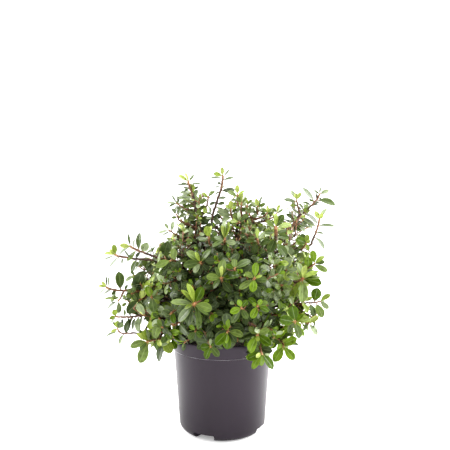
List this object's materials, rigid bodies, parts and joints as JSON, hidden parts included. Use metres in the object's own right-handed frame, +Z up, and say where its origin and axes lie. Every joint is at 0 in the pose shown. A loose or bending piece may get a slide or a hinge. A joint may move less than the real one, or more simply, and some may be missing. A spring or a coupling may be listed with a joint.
{
  "type": "potted red dream escallonia",
  "caption": "Evergreen flowering shrub out of flower, with an open rounded crown of glossy leaves on wiry stems, standing in a dark plastic nursery pot.",
  "frame": {"origin": "centre of the pot's flat underside, on the ground", "axes": "+Z up; -Y towards the viewer of the picture, the front of the plant; +X to the right in the picture"},
  "size_m": [0.4218, 0.4202, 0.4677],
  "materials": {
    "pot": "satin moulded charcoal plastic",
    "soil": "moist peat and bark potting mix",
    "bark": "thin brown bark, redder towards the tips",
    "foliage": "glossy small evergreen leaves, lime green at the shoot tips"
  },
  "bodies": {
    "root": {"pot": "pot", "soil": "soil", "trunk": "bark", "bough_back_centre": "bark", "bough_back_high_left": "bark", "bough_back_high_right": "bark", "bough_back_left": "bark", "bough_back_low_left": "bark", "bough_back_low_right": "bark", "bough_back_right": "bark", "bough_crown_top": "bark", "bough_front_centre": "bark", "bough_front_high": "bark", "bough_front_high_left": "bark", "bough_front_high_right": "bark", "bough_front_left": "bark", "bough_front_low": "bark", "bough_front_skirt": "bark", "bough_front_skirt_left": "bark", "bough_left_high": "bark", "bough_left_low": "bark", "bough_left_mid": "bark", "bough_left_shoulder": "bark", "bough_left_skirt": "bark", "bough_right_high": "bark", "bough_right_low": "bark", "bough_right_mid": "bark", "bough_right_skirt": "bark", "bough_top_centre": "bark", "bough_top_left": "bark", "bough_top_right": "bark", "foliage_back_centre": "foliage", "foliage_back_high_left": "foliage", "foliage_back_high_right": "foliage", "foliage_back_left": "foliage", "foliage_back_low_left": "foliage", "foliage_back_low_right": "foliage", "foliage_back_right": "foliage", "foliage_crown_top": "foliage", "foliage_front_centre": "foliage", "foliage_front_high": "foliage", "foliage_front_high_left": "foliage", "foliage_front_high_right": "foliage", "foliage_front_left": "foliage", "foliage_front_low": "foliage", "foliage_front_skirt": "foliage", "foliage_front_skirt_left": "foliage", "foliage_left_high": "foliage", "foliage_left_low": "foliage", "foliage_left_mid": "foliage", "foliage_left_shoulder": "foliage", "foliage_left_skirt": "foliage", "foliage_right_high": "foliage", "foliage_right_low": "foliage", "foliage_right_mid": "foliage", "foliage_right_skirt": "foliage", "foliage_top_centre": "foliage", "foliage_top_left": "foliage", "foliage_top_right": "foliage"}
  },
  "joints": []
}
